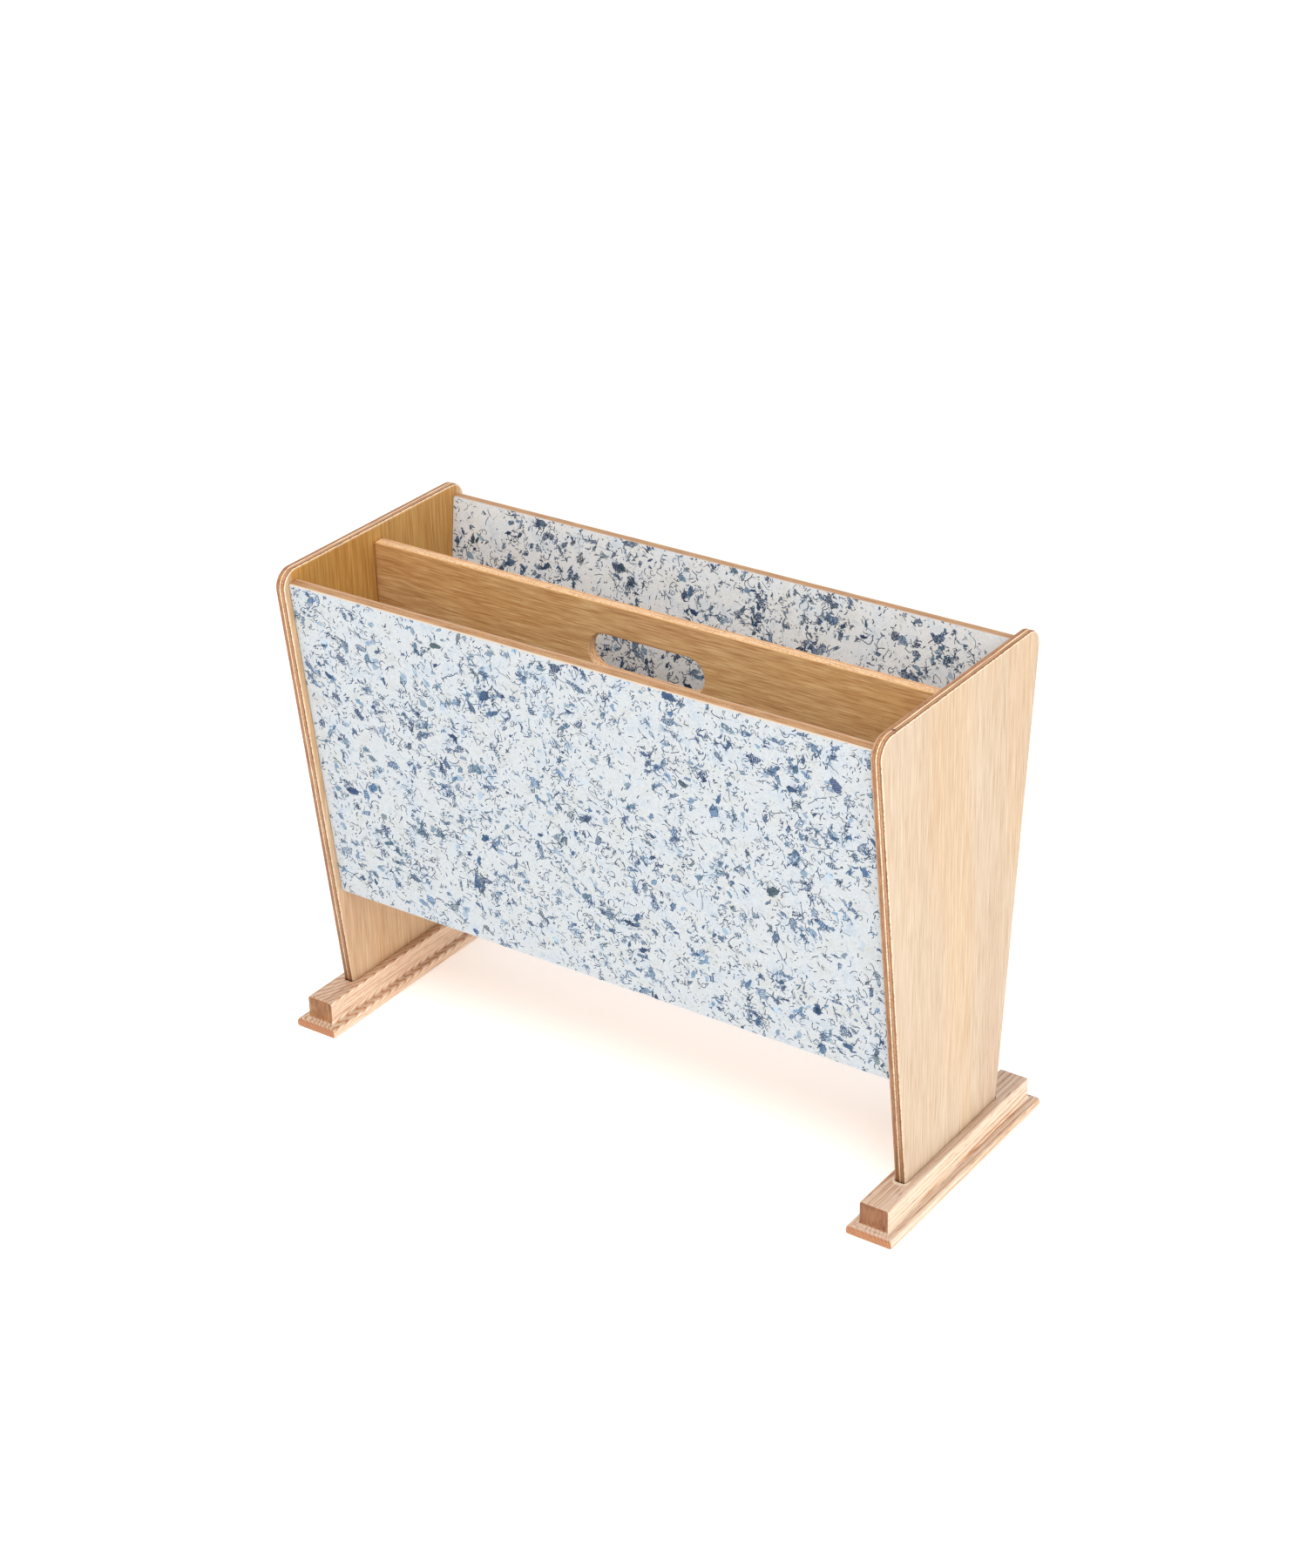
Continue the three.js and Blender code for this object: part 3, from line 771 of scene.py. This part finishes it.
def divider():
    low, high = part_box("divider_panel")
    half = high.x / MM
    outline = rectangle(half, low.z / MM, high.z / MM, 0, DIVIDER_CORNER_RADIUS)
    slot = stadium(SLOT_LENGTH / 2, SLOT_WIDTH / 2, SLOT_HEIGHT)
    body = Body()
    levels = arris_levels(PLY, DIVIDER_ARRIS)
    body.board([outline, slot[::-1]], levels, lambda x, z, y: (x, y - PLY / 2, z))
    centre = (0, 0, 0)
    material = plywood(
        "divider veneer", Y_AXIS, X_AXIS, centre, DIVIDER_WOOD, DIVIDER_LAYERS, edge=CUT_FIBRE_AND_HIGHLIGHT_HONEY
    )
    body.piece("divider_board", material, "divider_veneer", Matrix.Identity(4), "divider_panel")


divider()


# ---- Feet ----

def foot_ring(body, reach, height):
    """A level of the moulding: a rounded rectangle standing out from the block by reach."""
    radius = max(FOOT_CORNER_RADIUS + min(reach, 0) / 2, FOOT_LEAST_RADIUS)
    half = FOOT_BLOCK_HALF_WIDTH + reach
    length = FOOT_BLOCK_HALF_LENGTH + reach
    outline = rectangle(half, -length, length, radius, radius)
    return body.ring([(p.x, p.y, height) for p in outline])


def arc(centre, radius, begin, end):
    """(reach, height) points of a moulding's arc, from begin to end in degrees."""
    points = []
    for k in range(ARC_STEPS + 1):
        angle = radians(begin + (end - begin) * k / ARC_STEPS)
        points.append((centre[0] + radius * cos(angle), centre[1] + radius * sin(angle)))
    return points


def foot_profile():
    cove_height = LIP_NOSE_HEIGHT + LIP_NOSE_RADIUS + COVE_RADIUS
    base = LIP_REACH - LIP_BASE_RADIUS
    nose = LIP_REACH - LIP_NOSE_RADIUS
    crown = FOOT_HEIGHT - FOOT_TOP_RADIUS
    return [
        (base - END_SUPPORT, 0.0),
        *arc((base, LIP_BASE_RADIUS), LIP_BASE_RADIUS, -90, 0),
        *arc((nose, LIP_NOSE_HEIGHT), LIP_NOSE_RADIUS, 0, 90),
        *arc((COVE_RADIUS, cove_height), COVE_RADIUS, -90, -180),
        *arc((-FOOT_TOP_RADIUS, crown), FOOT_TOP_RADIUS, 0, 90),
        (-FOOT_TOP_RADIUS - END_SUPPORT, FOOT_HEIGHT),
    ]


def circle(radius, centre_y):
    angles = [tau * k / ROUND_STEPS for k in range(ROUND_STEPS)]
    return [(radius * cos(a), centre_y + radius * sin(a)) for a in angles]


def foot(side, material):
    body = Body()
    outside = [foot_ring(body, reach, height) for reach, height in foot_profile()]
    body.wall(outside)

    panel = f"{side}_end_panel"
    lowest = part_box(panel)[0].z / MM
    lean = (sloping_edge(panel) - foot_depth(panel)) / MM / (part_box(panel)[1].z / MM - lowest)
    long_half = foot_depth(panel) / MM + lean * (FOOT_HEIGHT - lowest) + HOUSING_GAP
    wide_half = PLY / 2 + HOUSING_GAP
    corner = HOUSING_CORNER_RADIUS
    outline = rectangle(long_half, -wide_half, wide_half, corner, corner)
    rim = [(HOUSING_RIM + END_SUPPORT, FOOT_HEIGHT)]
    for k in range(ARRIS_STEPS + 1):
        angle = pi / 2 * k / ARRIS_STEPS
        rim.append(
            (HOUSING_RIM * (1 - sin(angle)), FOOT_HEIGHT - HOUSING_RIM * (1 - cos(angle)))
        )
    rim.append((0, HOUSING_FLOOR))
    housing = []
    for reach, height in rim:
        points = inset(outline, -reach)
        housing.append(body.ring([(-p.y, p.x, height) for p in points]))
    body.wall(housing[:-1])
    body.wall(housing[-2:], smooth=False)

    holes = [
        (SCREW_HOLE_RADIUS, HOUSING_FLOOR),
        (SCREW_HOLE_RADIUS, SCREW_SEAT_DEPTH),
        (SCREW_SINK_RADIUS, SCREW_SINK_DEPTH),
        (SCREW_SINK_RADIUS, SCREW_RIM),
        (SCREW_SINK_RADIUS + SCREW_RIM, 0.0),
    ]
    upper = [housing[-1]]
    lower = [outside[0]]
    for screw_y in SCREW_PLACES:
        rings = []
        for radius, height in holes:
            rings.append(body.ring([(x, y, height) for x, y in circle(radius, screw_y)]))
        body.wall(rings)
        upper.append(rings[0])
        lower.append(rings[-1])
    body.cap([outside[-1], housing[0]])
    body.cap(upper)
    body.cap(lower)
    node = f"{side}_foot"
    place = Matrix.Translation((middle(node).x, 0, 0))
    body.piece(f"{side}_foot_moulding", material, "foot_ash", place, node)


LEFT_ASH = ash(
    "left foot ash",
    (-0.036, -0.074),
    lean=-0.155,
    spacing=1.55,
    warping=0.0055,
    calm=0.3,
    seed=(0.0, 0.0, 0.0),
    top=rgb(210, 200, 194),
    band=1.0,
    ends=(rgb(128, 84, 44), rgb(182, 132, 78)),
)
RIGHT_ASH = ash(
    "right foot ash",
    (-0.034, -0.020),
    lean=-0.012,
    spacing=2.3,
    warping=0.0030,
    calm=0.8,
    seed=(5.2, 1.7, 3.9),
    top=rgb(214, 208, 208),
    band=0.55,
    ends=(rgb(112, 68, 36), rgb(160, 106, 64)),
    housing=(0.0, -0.0565, 0.0232),
)
foot("left", LEFT_ASH)
foot("right", RIGHT_ASH)


# ---- Leaning panels ----

FACES = (("front", "outer"), ("front", "inner"), ("back", "inner"), ("back", "outer"))


def face_frame(core, facing):
    """The frame of a facing's outer face: u along the rack, v up the slope, n out of the face.

    Its origin is on the middle of the face's lower edge. Returns (matrix, half length, height).
    """
    big = max(NODES[core].data.polygons, key=lambda polygon: polygon.area)
    out = middle(facing) - middle(core)
    n = big.normal.copy()
    if n.dot(out) < 0:
        n.negate()
    u = Vector((-copysign(1, n.y), 0, 0))
    v = n.cross(u)
    points = [vertex.co for vertex in NODES[facing].data.vertices]
    lengths = [p.dot(u) for p in points]
    heights = [p.dot(v) for p in points]
    level = max(p.dot(n) for p in points)
    origin = n * level + v * min(heights)
    matrix = Matrix((u, v, n)).transposed().to_4x4()
    matrix.translation = origin
    return matrix, max(lengths) / MM, (max(heights) - min(heights)) / MM


DYES = {
    "ink": (42, 53, 70),
    "iron": (57, 74, 93),
    "navy": (42, 62, 96),
    "slate": (58, 86, 116),
    "steel": (68, 97, 127),
    "denim": (84, 112, 141),
    "pale": (118, 142, 163),
    "teal": (72, 103, 119),
    "moss": (74, 90, 90),
    "fog": (138, 155, 168),
    "mist": (168, 182, 193),
    "peach": (226, 200, 172),
    "straw": (222, 210, 158),
}
THREAD_DYES = ("ink", "iron", "navy", "iron", "slate", "navy")
FAINT_DYES = ("fog", "fog", "mist", "pale")
CHIP_DYES = (
    *("steel", "denim", "slate", "steel", "slate", "navy", "steel", "denim"),
    *("pale", "teal", "teal", "slate", "navy", "moss"),
)
ODD_DYES = ("peach", "peach", "straw")

EDGE_MARGIN = 0.35  # mm that scraps keep from the sheet's edge
THREAD_RISE = 0.09
YARN_RISE = 0.13  # a frayed scrap's own yarns lie on it
CHIP_RISE = 0.05
FAINT_RISE = 0.02
SUNK = -0.03
CHIP_BEVEL = 0.12
THREAD_STEP = 1.6
THREAD_TIP = 0.3
JAG_STEP = 0.7
PATCH_SIZE = 30  # mm across the crowded and the empty patches of a sheet
CLUSTER_SPREAD = 4.5

# Kinds of thread: count, shortest and longest in mm, width in mm, bend in radians per mm, dyes.
THREAD_KINDS = (
    (2500, 0.8, 1.9, 0.86, 0.10, THREAD_DYES),
    (2000, 1.9, 4.2, 0.80, 0.20, THREAD_DYES),
    (720, 4.2, 8.5, 0.70, 0.24, THREAD_DYES),
    (110, 8.5, 15.0, 0.64, 0.26, THREAD_DYES),
    (1500, 0.9, 3.2, 0.76, 0.15, FAINT_DYES),
    (600, 3.2, 8.0, 0.70, 0.24, FAINT_DYES),
)
# Kinds of scrap: count, least and greatest half length in mm, share that lies by another scrap.
CHIP_KINDS = (
    (230, 3.0, 6.0, 0.0),
    (560, 1.7, 3.2, 0.5),
    (900, 0.8, 1.8, 0.4),
)
FAINT_CHIP_COUNT = 260
ODD_CHIP_COUNT = 9
COMB_COUNT = 120


def shade_of(name, rng):
    """A dye's colour, a little lighter or darker."""
    level = rng.uniform(0.86, 1.14)
    return tuple(linear(min(255, c * level)) for c in DYES[name]) + (1.0,)


def grown(outline, distance):
    """A ragged counter-clockwise outline moved outwards, with its sharp corners held back."""
    moved = []
    for i, here in enumerate(outline):
        a = (here - outline[i - 1]).normalized()
        b = (outline[(i + 1) % len(outline)] - here).normalized()
        out = Vector((a.y + b.y, -a.x - b.x))
        moved.append(here + out * distance / max(0.6, 1 + a.dot(b)))
    return moved


class Scraps:
    """Many small closed bodies pressed into a sheet's face, as one mesh."""

    def __init__(self, half, height, tint):
        self.tint = (*tint, 1)
        self.half = half - EDGE_MARGIN
        self.height = height - EDGE_MARGIN
        self.points = []
        self.faces = []
        self.dyes = []
        self.weaves = []

    def holds(self, u, v):
        return abs(u) < self.half and EDGE_MARGIN < v < self.height

    def held(self, u, v):
        return max(-self.half, min(self.half, u)), max(EDGE_MARGIN, min(self.height, v))

    def thread(self, path, width, dye, rise=THREAD_RISE):
        """A thread of three-sided section along path, pointed at both ends."""
        kept = []
        for point in path:
            if not self.holds(*point):
                break
            kept.append(Vector(point))
        if len(kept) < 2:
            return
        first = kept[1] - kept[0]
        final = kept[-2] - kept[-1]
        tips = [end.normalized() * min(THREAD_TIP, end.length / 3) for end in (first, final)]
        rings = [kept[0] + tips[0], *kept[1:-1], kept[-1] + tips[1]]
        tail = len(self.points)
        self.points.append((kept[0].x, kept[0].y, SUNK))
        for i, here in enumerate(rings):
            behind = kept[0] if i == 0 else rings[i - 1]
            beyond = kept[-1] if i == len(rings) - 1 else rings[i + 1]
            ahead = (beyond - behind).normalized()
            side = Vector((-ahead.y, ahead.x)) * width / 2
            self.points.append((here.x + side.x, here.y + side.y, SUNK))
            self.points.append((here.x, here.y, rise))
            self.points.append((here.x - side.x, here.y - side.y, SUNK))
        head = len(self.points)
        self.points.append((kept[-1].x, kept[-1].y, SUNK))
        self.dyes.extend([dye] * (head + 1 - tail))
        last = head - 3
        for j in range(3):
            k = (j + 1) % 3
            self.faces.append((tail, tail + 1 + k, tail + 1 + j))
            self.faces.append((head, last + j, last + k))
            for a in range(tail + 1, last, 3):
                self.faces.append((a + j, a + k, a + k + 3, a + j + 3))

    def chip(self, outline, dye, weave, rise=CHIP_RISE):
        """A flat scrap with a bevelled rim. weave(u, v) gives its weave attribute at a point."""
        base = len(self.points)
        count = len(outline)
        for height, ring in ((SUNK, grown(outline, CHIP_BEVEL)), (rise, outline)):
            for point in ring:
                self.points.append((*self.held(*point), height))
                self.dyes.append(dye)
                self.weaves.append(weave(*point))
        self.faces.append(tuple(base + i for i in reversed(range(count))))
        self.faces.append(tuple(base + count + i for i in range(count)))
        for i in range(count):
            j = (i + 1) % count
            self.faces.append((base + i, base + j, base + count + j, base + count + i))

    def data(self, name, smooth):
        mesh = bpy.data.meshes.new(name)
        mesh.from_pydata([Vector(p) * MM for p in self.points], [], self.faces)
        mesh.polygons.foreach_set("use_smooth", [smooth] * len(self.faces))
        color = mesh.attributes.new("dye", "FLOAT_COLOR", "POINT")
        channels = [c * t for dye in self.dyes for c, t in zip(dye, self.tint)]
        color.data.foreach_set("color", channels)
        if self.weaves:
            weave = mesh.attributes.new("weave", "FLOAT_VECTOR", "POINT")
            weave.data.foreach_set("vector", [c for w in self.weaves for c in w])
        return mesh


def wander(rng, start, heading, length, bend):
    """A thread's path: its bend changes as it goes."""
    steps = max(1, round(length / THREAD_STEP))
    stride = length / steps
    turn = rng.gauss(0, bend)
    path = [start]
    u, v = start
    for _ in range(steps):
        turn += rng.gauss(0, bend * 0.6)
        turn = max(-3 * bend, min(3 * bend, turn))
        heading += turn * stride
        u += cos(heading) * stride
        v += sin(heading) * stride
        path.append((u, v))
    return path


def crowded(u, v, seed):
    """How likely a scrap is to lie at a point, from 0 to 1."""
    place = Vector((u / PATCH_SIZE, v / PATCH_SIZE, seed * 5.0))
    return max(0.0, min(1.0, 0.62 + 0.7 * noise.noise(place)))


def any_place(rng, half, height, seed):
    while True:
        u = rng.uniform(-half, half)
        v = rng.uniform(0, height)
        if rng.random() < crowded(u, v, seed):
            return Vector((u, v))


def axes(turn):
    along = Vector((cos(turn), sin(turn)))
    return along, Vector((-along.y, along.x))


def scrap_outline(rng, at, along, across, long_half, wide_half, rag):
    """The outline of a torn scrap, counter-clockwise: five to eight corners and ragged edges."""
    count = rng.randint(5, 8)
    corners = []
    for k in range(count):
        angle = tau * (k + rng.uniform(-0.3, 0.3)) / count
        reach = rng.uniform(0.55, 1.15)
        corners.append(Vector((cos(angle) * long_half, sin(angle) * wide_half)) * reach)
    outline = []
    for a, b in zip(corners, corners[1:] + corners[:1]):
        pieces = max(1, round((b - a).length / JAG_STEP))
        for k in range(pieces):
            point = a.lerp(b, k / pieces)
            point *= 1 + rng.gauss(0, rag) / max(point.length, 1)
            outline.append(at + along * point.x + across * point.y)
    return outline


def no_weave(u, v):
    return (0.0, 0.0, 0.0)


def plain_scrap(rng, chips, at, dye, half, rise):
    """A small scrap with no yarns of its own."""
    along, across = axes(rng.uniform(0, tau))
    wide = half * rng.uniform(0.4, 0.8)
    chips.chip(scrap_outline(rng, at, along, across, half, wide, 0.2), dye, no_weave, rise)


def frayed_scrap(rng, chips, yarns, at, name, half):
    """A scrap of woven cloth: twill lines, worn spots, darker yarns on it and loose at its rim."""
    turn = rng.uniform(0, tau)
    along, across = axes(turn)
    wide = half * rng.uniform(0.3, 0.66)
    outline = scrap_outline(rng, at, along, across, half, wide, 0.34)
    pitch = rng.uniform(1.1, 1.7)
    striped = rng.uniform(0.2, 0.7) if rng.random() < 0.6 else 0.0
    worn = rng.uniform(0.2, 0.8) if rng.random() < 0.5 else 0.0
    lean = across * rng.uniform(-0.6, 0.6) + along

    def weave(u, v):
        return (lean.dot(Vector((u, v))) * tau / pitch, striped, worn)

    chips.chip(outline, shade_of(name, rng), weave)
    yarn = "navy" if name in ("slate", "navy", "moss") else "slate"
    small = half < 1.7
    for _ in range(1 if small else rng.randint(1, 3)):
        start = rng.randrange(len(outline))
        run = outline[start:] + outline[:start]
        run = run[: max(3, int(len(run) * rng.uniform(0.2, 0.5)))][::2]
        if len(run) < 2:
            continue
        ahead = run[-1] - run[-2]
        loose = wander(rng, tuple(run[-1]), atan2(ahead.y, ahead.x), rng.uniform(0.5, 4), 0.2)
        path = [tuple(point) for point in run] + loose[1:]
        yarns.thread(path, rng.uniform(0.45, 0.7), shade_of(yarn, rng), YARN_RISE)
    for _ in range(rng.randint(0, 1 if small else 3)):
        way = rng.choice((0, pi))
        start = at + along * rng.uniform(-0.7, 0.3) * half * cos(way)
        start += across * rng.uniform(-0.8, 0.8) * wide
        heading = turn + way + rng.gauss(0, 0.3)
        path = wander(rng, tuple(start), heading, rng.uniform(0.6, 1.8) * half, 0.12)
        yarns.thread(path, rng.uniform(0.42, 0.62), shade_of(yarn, rng), YARN_RISE)


def comb(rng, yarns, at):
    """A few yarns side by side, left from a torn scrap."""
    turn = rng.uniform(0, tau)
    along, across = axes(turn)
    name = rng.choice(THREAD_DYES)
    teeth = rng.randint(3, 6)
    for tooth in range(teeth):
        start = at + across * (tooth - teeth / 2) * rng.uniform(0.9, 1.2)
        start += along * rng.uniform(-0.6, 0.6)
        path = wander(rng, tuple(start), turn + rng.gauss(0, 0.12), rng.uniform(1.6, 4), 0.1)
        yarns.thread(path, rng.uniform(0.45, 0.62), shade_of(name, rng))


def scatter(name, matrix, half, height, seed, boldness, tint):
    """Threads and scraps over one face.

    boldness multiplies the number of woven scraps, and tint all dyes but the faint ones.
    """
    rng = random.Random(seed)
    threads = Scraps(half, height, tint)
    wisps = Scraps(half, height, (1, 1, 1))
    yarns = Scraps(half, height, tint)
    chips = Scraps(half, height, tint)
    for _ in range(FAINT_CHIP_COUNT):
        at = any_place(rng, half, height, seed)
        dye = shade_of(rng.choice(FAINT_DYES), rng)
        plain_scrap(rng, chips, at, dye, rng.uniform(1.2, 4.2), FAINT_RISE)
    for _ in range(ODD_CHIP_COUNT):
        at = any_place(rng, half, height, seed)
        dye = shade_of(rng.choice(ODD_DYES), rng)
        plain_scrap(rng, chips, at, dye, rng.uniform(0.8, 1.8), FAINT_RISE)
    for count, shortest, longest, width, bend, dyes in THREAD_KINDS:
        for _ in range(count):
            start = any_place(rng, half, height, seed)
            length = rng.uniform(shortest, longest)
            path = wander(rng, tuple(start), rng.uniform(0, tau), length, bend)
            dye = shade_of(rng.choice(dyes), rng)
            width_here = width * rng.uniform(0.75, 1.25)
            if dyes is FAINT_DYES:
                wisps.thread(path, width_here, dye, FAINT_RISE)
            else:
                threads.thread(path, width_here, dye)
    placed = []
    for count, least, greatest, gathered in CHIP_KINDS:
        for _ in range(round(count * boldness)):
            at = any_place(rng, half, height, seed)
            name_of_dye = rng.choice(CHIP_DYES)
            if placed and rng.random() < gathered:
                near, name_of_dye = rng.choice(placed)
                at = near + Vector((rng.gauss(0, CLUSTER_SPREAD), rng.gauss(0, CLUSTER_SPREAD)))
                at = Vector(chips.held(*at))
            placed.append((at, name_of_dye))
            frayed_scrap(rng, chips, yarns, at, name_of_dye, rng.uniform(least, greatest))
    for _ in range(COMB_COUNT):
        comb(rng, yarns, any_place(rng, half, height, seed))
    slot = "textile_composite"
    for kind, scraps in (("threads", threads), ("wisps", wisps), ("yarns", yarns), ("chips", chips)):
        material = CHIPS if scraps is chips else THREADS
        data = scraps.data(f"{name}_{kind}", scraps is not chips)
        add_piece(f"{name}_{kind}", data, material, slot, matrix)


THREADS = dyed("textile threads", False)
CHIPS = dyed("textile chips", True)

# Painted light level (the inner sheets painted lighter, the outer ones darker, for the light each
# side gets), tone of the upper edge, number of woven scraps and tint of the dyes.
INNER_LOOK = (1.17, rgb(178, 132, 90), 1.5, (0.67, 0.77, 0.87))
OUTER_LOOK = (0.82, rgb(212, 188, 160), 1.0, (0.88, 0.92, 0.97))
FIRST_SEED = 40
FELT_STEP = 3.7  # between one sheet's noise and the next one's

for number, (panel, face) in enumerate(FACES):
    name = f"{panel}_{face}"
    facing = f"{panel}_panel_{face}_facing"
    matrix, half, height = face_frame(f"{panel}_panel_core", facing)
    body = Body()
    outline = rectangle(half, 0, height, SHEET_LOWER_RADIUS, SHEET_UPPER_RADIUS)
    levels = arris_levels(SHEET, SHEET_ARRIS)
    body.board([outline], levels, lambda u, v, n: (u, v, n - SHEET))
    painted_light_level, edge, boldness, tint = INNER_LOOK if face == "inner" else OUTER_LOOK
    material = felt(f"{name} felt", FELT_STEP * number, painted_light_level, edge)
    body.piece(f"{name}_sheet", material, "textile_composite", matrix, facing)
    scatter(name, matrix, half, height, FIRST_SEED + number, boldness, tint)


# ---- CAD nodes that stay, with finer materials ----

CORE_HALF = 2.5
CORE_SKIN = 2.6  # beyond the core's own face, which the facings hide


def paint(node, material):
    for slot in NODES[node].material_slots:
        slot.material = material


for panel in ("front", "back"):
    core = f"{panel}_panel_core"
    frame_of_face = face_frame(core, f"{panel}_panel_outer_facing")[0]
    u, v, n = (frame_of_face.col[i].to_3d() for i in range(3))
    material = plywood(
        f"{panel} core ply",
        n,
        u,
        middle(core),
        DIVIDER_WOOD,
        CORE_LAYERS,
        half=CORE_HALF,
        skin=CORE_SKIN,
    )
    paint(core, material)

centre = middle("floor_panel")
floor_ply = plywood("floor panel ply", Z_AXIS, X_AXIS, centre, DIVIDER_WOOD, DIVIDER_LAYERS)
paint("floor_panel", floor_ply)

BEECH = beech("dowel beech")
ZINC = zinc("screw zinc")
for node in NODES:
    if "dowel" in node:
        paint(node, BEECH)
    elif "screw" in node:
        paint(node, ZINC)


# ---- Floor, light and camera ----

def pale_floor(name, color):
    """A nearly even white with a faint cloudiness, which gives off a little light of its own."""
    nodes = Nodes(name)
    cloud = nodes.noise(nodes.coordinates(), (0.6, 0.6, 0.6), detail=1)
    lighter = tuple(min(1, c * 1.01) for c in color[:3]) + (1,)
    shade = nodes.ramp(cloud, [(0.3, color), (0.7, lighter)])
    glow = {"Emission_Color": WHITE, "Emission_Strength": FLOOR_GLOW}
    return nodes.finish(shade, FLOOR_ROUGHNESS, Specular_IOR_Level=0.1, **glow)


FLOOR_HALF = 60.0
FLOOR_DROP = 0.0002
FLOOR_ROUGHNESS = 0.9
FLOOR_GLOW = 0.24
floor_mesh = bpy.data.meshes.new("floor")
corners = rectangle(FLOOR_HALF, -FLOOR_HALF, FLOOR_HALF)
floor_mesh.from_pydata([(p.x, p.y, -FLOOR_DROP) for p in corners], [], [(0, 1, 2, 3)])
floor_mesh.materials.append(pale_floor("floor", rgb(253, 253, 253)))
floor = bpy.data.objects.new("floor", floor_mesh)
SCENE.collection.objects.link(floor)

WORLD_STRENGTH = 0.90
world = bpy.data.worlds.new("studio")
SCENE.world = world
world.use_nodes = True
background = world.node_tree.nodes["Background"]
background.inputs["Color"].default_value = WHITE
background.inputs["Strength"].default_value = WORLD_STRENGTH

AIM = Vector((0, 0, 0.18))  # the middle of the rack, where the lights point


def softbox(name, place, size, power, color):
    light = bpy.data.lights.new(name, "AREA")
    light.shape = "SQUARE"
    light.size = size
    light.energy = power
    light.color = color
    lamp = bpy.data.objects.new(name, light)
    SCENE.collection.objects.link(lamp)
    lamp.location = place
    lamp.rotation_mode = "QUATERNION"
    lamp.rotation_quaternion = (AIM - Vector(place)).to_track_quat("-Z", "Y")


softbox("key", (1.75, -1.25, 1.9), 1.5, 21.0, (1.0, 0.99, 0.98))
softbox("top", (-0.2, -1.3, 2.4), 1.2, 24.0, (0.98, 0.99, 1.0))

# The photo's view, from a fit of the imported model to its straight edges. Degrees and mm.
CAMERA_PLACE = (1.02820, -1.44606, 1.15226)
CAMERA_YAW = 35.39
CAMERA_PITCH = -27.83
CAMERA_ROLL = -1.42
CAMERA_LENS = 71.18
SENSOR_WIDTH = 36.0

lens = bpy.data.cameras.new("camera")
lens.lens = CAMERA_LENS
lens.sensor_width = SENSOR_WIDTH
lens.clip_start = 0.05
lens.clip_end = 100.0
camera = bpy.data.objects.new("camera", lens)
SCENE.collection.objects.link(camera)
camera.matrix_world = (
    Matrix.Translation(CAMERA_PLACE)
    @ Matrix.Rotation(radians(CAMERA_YAW), 4, "Z")
    @ Matrix.Rotation(radians(90 + CAMERA_PITCH), 4, "X")
    @ Matrix.Rotation(radians(CAMERA_ROLL), 4, "Z")
)
bpy.context.scene.camera = camera
SCENE.view_settings.view_transform = "Standard"
